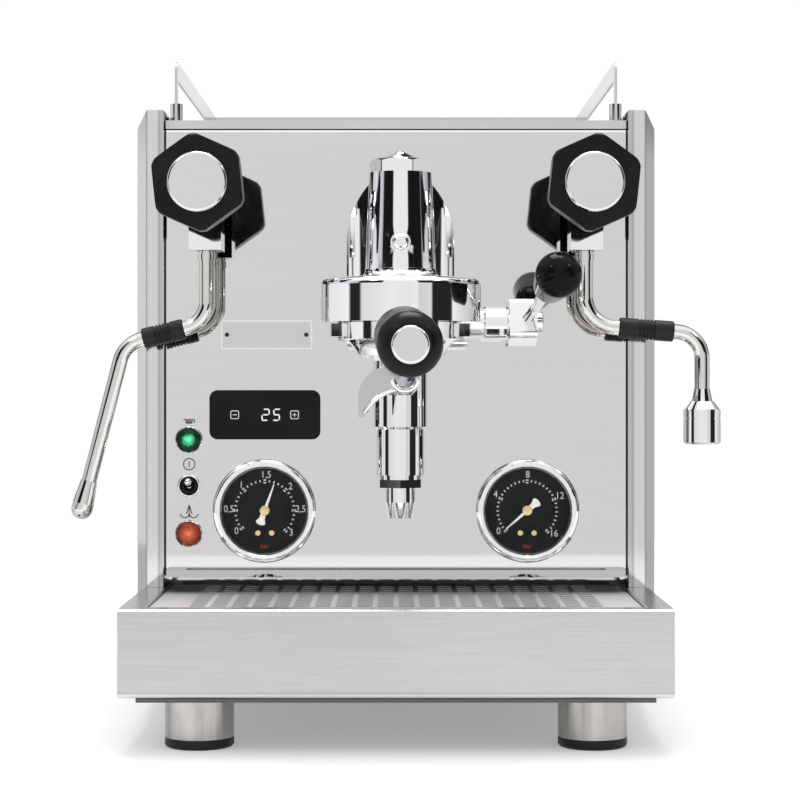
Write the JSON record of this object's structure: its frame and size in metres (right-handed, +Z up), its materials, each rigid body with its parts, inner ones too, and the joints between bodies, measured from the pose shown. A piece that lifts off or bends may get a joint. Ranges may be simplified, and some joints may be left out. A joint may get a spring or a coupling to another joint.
{
  "type": "espresso machine",
  "caption": "Counter-top espresso machine with a lever brew group, a locking portafilter, two ball-jointed wands, two gauges, a drawer-type drip tray and a lift-out water tank.",
  "frame": {"origin": "on the floor, under the middle of the outline", "axes": "+X to the machine's right as seen from the front, +Y to the rear, +Z up"},
  "size_m": [0.3646, 0.5904, 0.384],
  "materials": {
    "chrome": "mirror chrome",
    "polished_steel": "polished stainless sheet",
    "brushed_steel": "brushed stainless",
    "black_plastic": "satin black moulding",
    "gloss_black": "gloss black",
    "rubber": "black rubber",
    "copper": "plain copper",
    "cast_metal": "cast",
    "inner_plastic": "moulded black",
    "tank_plastic": "frosted plastic",
    "dial_black": "printed black",
    "clear_glass": "clear",
    "needle_white": "white paint, brass hub",
    "lamp_lens": "faceted lens, one green and one orange"
  },
  "bodies": {
    "root": {"base_plate": "brushed_steel", "feet_steel": "brushed_steel", "feet_rubber": "rubber", "frame_posts": "brushed_steel", "inner_shelves": "brushed_steel", "side_panel_left": "polished_steel", "side_panel_right": "polished_steel", "front_panel": "polished_steel", "rear_panel": "polished_steel", "top_cover": "polished_steel", "cup_rail": "polished_steel", "rail_posts": "polished_steel", "boiler": "copper", "heating_element": "brushed_steel", "pump": "cast_metal", "control_box": "inner_plastic", "pipes": "copper", "group_body": "chrome", "group_top_nut": "chrome", "infusion_chamber": "chrome", "drain_nozzle": "chrome", "shower_screen": "brushed_steel", "group_gasket": "rubber", "lever_nut": "chrome", "valve_bodies": "chrome", "gauge_cases": "chrome", "gauge_dials": "dial_black", "gauge_glasses": "clear_glass", "display": "gloss_black", "indicator_lamps": "lamp_lens", "switch_bezel": "chrome", "nameplate": "polished_steel", "power_inlet": "inner_plastic"},
    "lever": {"lever_hub": "chrome", "lever_arm": "chrome", "lever_knob": "gloss_black"},
    "portafilter": {"portafilter_body": "chrome", "filter_basket": "brushed_steel", "portafilter_handle": "black_plastic", "handle_cap": "chrome", "spout": "chrome"},
    "steam_valve": {"steam_knob": "black_plastic", "steam_cap": "chrome"},
    "water_valve": {"water_knob": "black_plastic", "water_cap": "chrome"},
    "steam_swivel": {"steam_ball": "chrome"},
    "steam_wand": {"steam_wand": "chrome", "steam_grip": "rubber", "steam_tip": "chrome"},
    "water_swivel": {"water_ball": "chrome"},
    "water_wand": {"water_wand": "chrome", "water_grip": "rubber", "water_nozzle": "chrome"},
    "drip_tray": {"drip_tray": "polished_steel"},
    "drip_grate": {"drip_grate": "polished_steel"},
    "water_tank": {"water_tank": "tank_plastic"},
    "tank_lid": {"tank_lid": "polished_steel"},
    "toggle": {"toggle_bat": "chrome"},
    "steam_needle": {"steam_needle": "needle_white"},
    "pump_needle": {"pump_needle": "needle_white"}
  },
  "joints": [
    {"name": "lever_turn", "type": "hinge", "parent": "root", "child": "lever", "pos_m": [0.0736, -0.044, 0.2283], "axis": [1, 0, 0], "range_deg": [0, 60]},
    {"name": "portafilter_turn", "type": "hinge", "parent": "root", "child": "portafilter", "pos_m": [0.0025, -0.094, 0.235], "axis": [0, 0, 1], "range_deg": [-50, 0]},
    {"name": "steam_valve_turn", "type": "hinge", "parent": "root", "child": "steam_valve", "pos_m": [-0.1063, -0.1, 0.3015], "axis": [0, -1, 0], "range_deg": [0, 270]},
    {"name": "water_valve_turn", "type": "hinge", "parent": "root", "child": "water_valve", "pos_m": [0.1063, -0.1, 0.3015], "axis": [0, -1, 0], "range_deg": [0, 270]},
    {"name": "steam_wand_swing", "type": "hinge", "parent": "root", "child": "steam_swivel", "pos_m": [-0.1063, -0.063, 0.274], "axis": [0, 0, 1], "range_deg": [-15, 70]},
    {"name": "steam_wand_tilt", "type": "hinge", "parent": "steam_swivel", "child": "steam_wand", "pos_m": [-0.1063, -0.063, 0.274], "axis": [0, 1, 0], "range_deg": [-10, 12]},
    {"name": "water_wand_swing", "type": "hinge", "parent": "root", "child": "water_swivel", "pos_m": [0.1063, -0.063, 0.274], "axis": [0, 0, 1], "range_deg": [-55, 15]},
    {"name": "water_wand_tilt", "type": "hinge", "parent": "water_swivel", "child": "water_wand", "pos_m": [0.1063, -0.063, 0.274], "axis": [0, 1, 0], "range_deg": [-12, 10]},
    {"name": "tray_slide", "type": "slide", "parent": "root", "child": "drip_tray", "axis": [0, -1, 0], "range_m": [0, 0.2]},
    {"name": "grate_tilt", "type": "hinge", "parent": "drip_tray", "child": "drip_grate", "pos_m": [0, 0.008, 0.0725], "axis": [-1, 0, 0], "range_deg": [0, 6]},
    {"name": "tank_lift", "type": "slide", "parent": "root", "child": "water_tank", "axis": [0, 0, 1], "range_m": [0, 0.215]},
    {"name": "lid_lift", "type": "slide", "parent": "water_tank", "child": "tank_lid", "axis": [0, 0, 1], "range_m": [0, 0.06]},
    {"name": "toggle_tip", "type": "hinge", "parent": "root", "child": "toggle", "pos_m": [-0.12, -0.021, 0.1342], "axis": [1, 0, 0], "range_deg": [0, 30]},
    {"name": "steam_needle_turn", "type": "hinge", "parent": "root", "child": "steam_needle", "pos_m": [-0.076, -0.024, 0.12], "axis": [0, 1, 0], "range_deg": [-154.5, 115.5]},
    {"name": "pump_needle_turn", "type": "hinge", "parent": "root", "child": "pump_needle", "pos_m": [0.076, -0.024, 0.12], "axis": [0, 1, 0], "range_deg": [-4, 266]}
  ]
}
